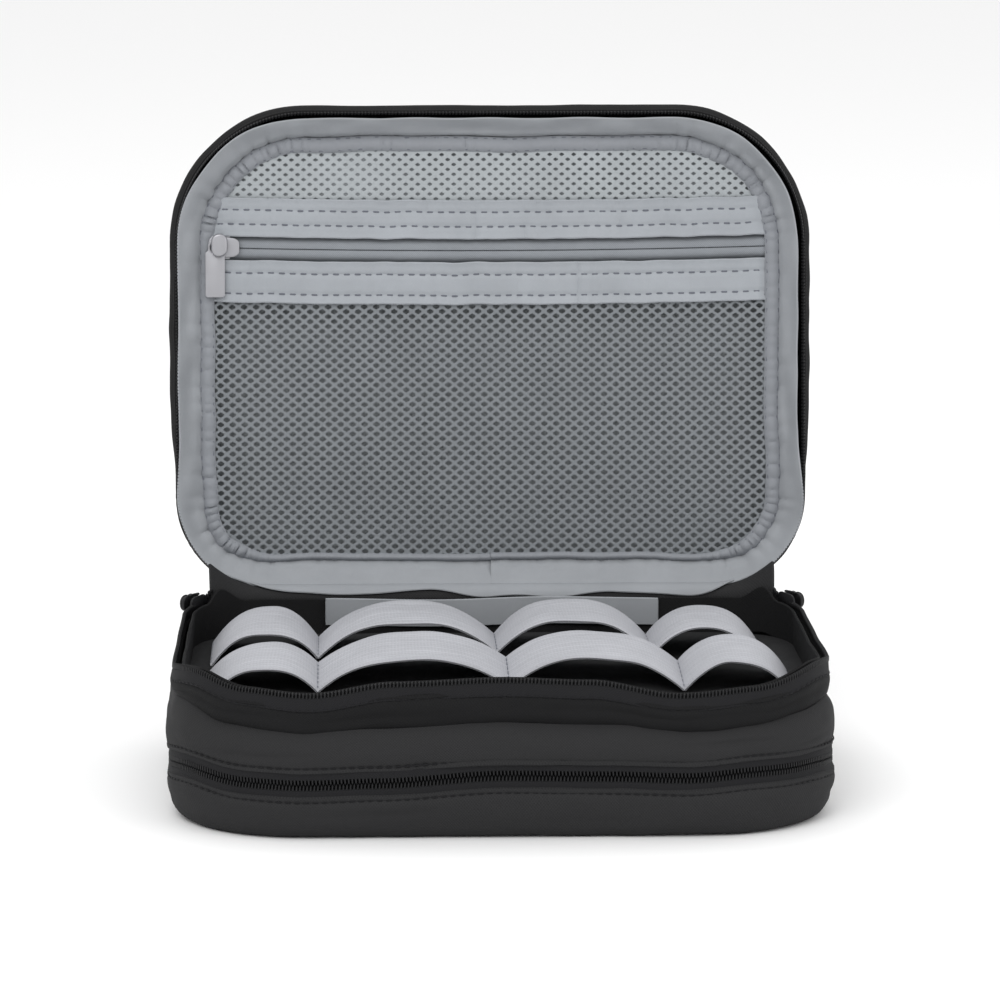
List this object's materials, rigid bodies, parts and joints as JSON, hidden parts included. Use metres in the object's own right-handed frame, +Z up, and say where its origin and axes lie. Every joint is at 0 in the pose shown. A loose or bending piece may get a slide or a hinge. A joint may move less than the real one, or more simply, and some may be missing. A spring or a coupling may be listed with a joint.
{
  "type": "cable organizer pouch",
  "caption": "Soft zip case with two compartments, elastic cable loops in the upper one and a hinged lid with a zipped mesh pocket.",
  "frame": {"origin": "centre of the flat bottom, on the surface that the pouch rests on", "axes": "+Z up, -Y towards the front, +X to the right as seen from the front; the lid stands open at rest"},
  "size_m": [0.246, 0.23, 0.2417],
  "materials": {
    "black_cloth": "woven nylon, matt",
    "black_lining": "thin woven polyester",
    "black_zip_tape": "woven zip tape",
    "black_zip_coil": "nylon coil",
    "foam": "closed-cell foam sheet",
    "grey_lining": "woven polyester with a soft sheen",
    "grey_elastic": "knitted elastic",
    "grey_mesh": "knitted mesh",
    "grey_zip_tape": "woven zip tape",
    "grey_zip_coil": "nylon coil",
    "silver_metal": "satin, cast",
    "black_metal": "black enamel, half gloss"
  },
  "bodies": {
    "lower_tray": {"bottom_panel": "black_cloth", "bottom_foam": "foam", "bottom_lining": "black_lining", "lower_wall": "black_cloth", "lower_zip_bottom_tape": "black_zip_tape", "lower_zip_bottom_coil": "black_zip_coil", "lower_hinge_gusset_bottom": "black_cloth", "lower_spine": "black_cloth"},
    "upper_tray": {"divider_under_cloth": "black_lining", "divider_foam": "foam", "divider_top_cloth": "black_lining", "middle_wall": "black_cloth", "upper_wall": "black_cloth", "lower_zip_top_tape": "black_zip_tape", "lower_zip_top_coil": "black_zip_coil", "main_zip_base_tape": "black_zip_tape", "main_zip_base_coil": "black_zip_coil", "lower_hinge_gusset_top": "black_cloth", "hinge_gusset_base": "black_cloth", "spine_lining": "grey_lining", "lid_spine": "black_cloth", "elastic_loop_front_1": "grey_elastic", "elastic_loop_front_2": "grey_elastic", "elastic_loop_front_3": "grey_elastic", "elastic_loop_front_4": "grey_elastic", "elastic_loop_rear_1": "grey_elastic", "elastic_loop_rear_2": "grey_elastic", "elastic_loop_rear_3": "grey_elastic", "elastic_loop_rear_4": "grey_elastic"},
    "lid": {"lid_outer_panel": "black_cloth", "lid_foam": "foam", "lid_lining": "grey_lining", "lid_wall": "black_cloth", "lid_lining_ring": "grey_lining", "main_zip_lid_tape": "black_zip_tape", "main_zip_lid_coil": "black_zip_coil", "hinge_gusset_lid": "black_cloth", "pocket_binding": "grey_lining", "mesh_upper": "grey_mesh", "mesh_lower": "grey_mesh", "zip_facing_upper": "grey_lining", "zip_facing_lower": "grey_lining", "pocket_zip_upper_tape": "grey_zip_tape", "pocket_zip_upper_coil": "grey_zip_coil", "pocket_zip_lower_tape": "grey_zip_tape", "pocket_zip_lower_coil": "grey_zip_coil"},
    "main_zip_left_slider": {"main_zip_left_slider": "black_metal"},
    "main_zip_left_pull": {"main_zip_left_pull": "black_metal"},
    "main_zip_right_slider": {"main_zip_right_slider": "black_metal"},
    "main_zip_right_pull": {"main_zip_right_pull": "black_metal"},
    "lower_zip_slider": {"lower_zip_slider": "black_metal"},
    "lower_zip_pull": {"lower_zip_pull": "black_metal"},
    "pocket_zip_slider": {"pocket_zip_slider": "silver_metal"},
    "pocket_zip_pull": {"pocket_zip_pull": "silver_metal"}
  },
  "joints": [
    {"name": "lower_hinge", "type": "hinge", "parent": "lower_tray", "child": "upper_tray", "pos_m": [0, 0.0934, 0.02], "axis": [-1, 0, 0], "range_deg": [0, 75]},
    {"name": "lid_hinge", "type": "hinge", "parent": "upper_tray", "child": "lid", "pos_m": [0, 0.094, 0.056], "axis": [1, 0, 0], "range_deg": [-84, 96]},
    {"name": "main_zip_left_travel", "type": "hinge", "parent": "upper_tray", "child": "main_zip_left_slider", "pos_m": [-0.085, 0.056, 0.056], "axis": [0, 0, 1], "range_deg": [0, 35]},
    {"name": "main_zip_left_pull_swing", "type": "hinge", "parent": "main_zip_left_slider", "child": "main_zip_left_pull", "pos_m": [-0.11606, 0.08068, 0.056], "axis": [-0.8192, 0.5736, 0], "range_deg": [-90, 90]},
    {"name": "main_zip_right_travel", "type": "hinge", "parent": "upper_tray", "child": "main_zip_right_slider", "pos_m": [0.085, 0.056, 0.056], "axis": [0, 0, -1], "range_deg": [0, 35]},
    {"name": "main_zip_right_pull_swing", "type": "hinge", "parent": "main_zip_right_slider", "child": "main_zip_right_pull", "pos_m": [0.11606, 0.08068, 0.056], "axis": [0.8192, 0.5736, 0], "range_deg": [-90, 90]},
    {"name": "lower_zip_travel", "type": "hinge", "parent": "lower_tray", "child": "lower_zip_slider", "pos_m": [0.085, 0.056, 0.02], "axis": [0, 0, -1], "range_deg": [0, 35]},
    {"name": "lower_zip_pull_swing", "type": "hinge", "parent": "lower_zip_slider", "child": "lower_zip_pull", "pos_m": [0.11606, 0.08068, 0.02], "axis": [0.8192, 0.5736, 0], "range_deg": [-90, 90]},
    {"name": "pocket_zip_slide", "type": "slide", "parent": "lid", "child": "pocket_zip_slider", "axis": [1, 0, 0], "range_m": [0, 0.2]},
    {"name": "pocket_zip_pull_swing", "type": "hinge", "parent": "pocket_zip_slider", "child": "pocket_zip_pull", "pos_m": [-0.1064, 0.11421, 0.18902], "axis": [0, -0.9945, 0.1045], "range_deg": [-10, 90]}
  ]
}
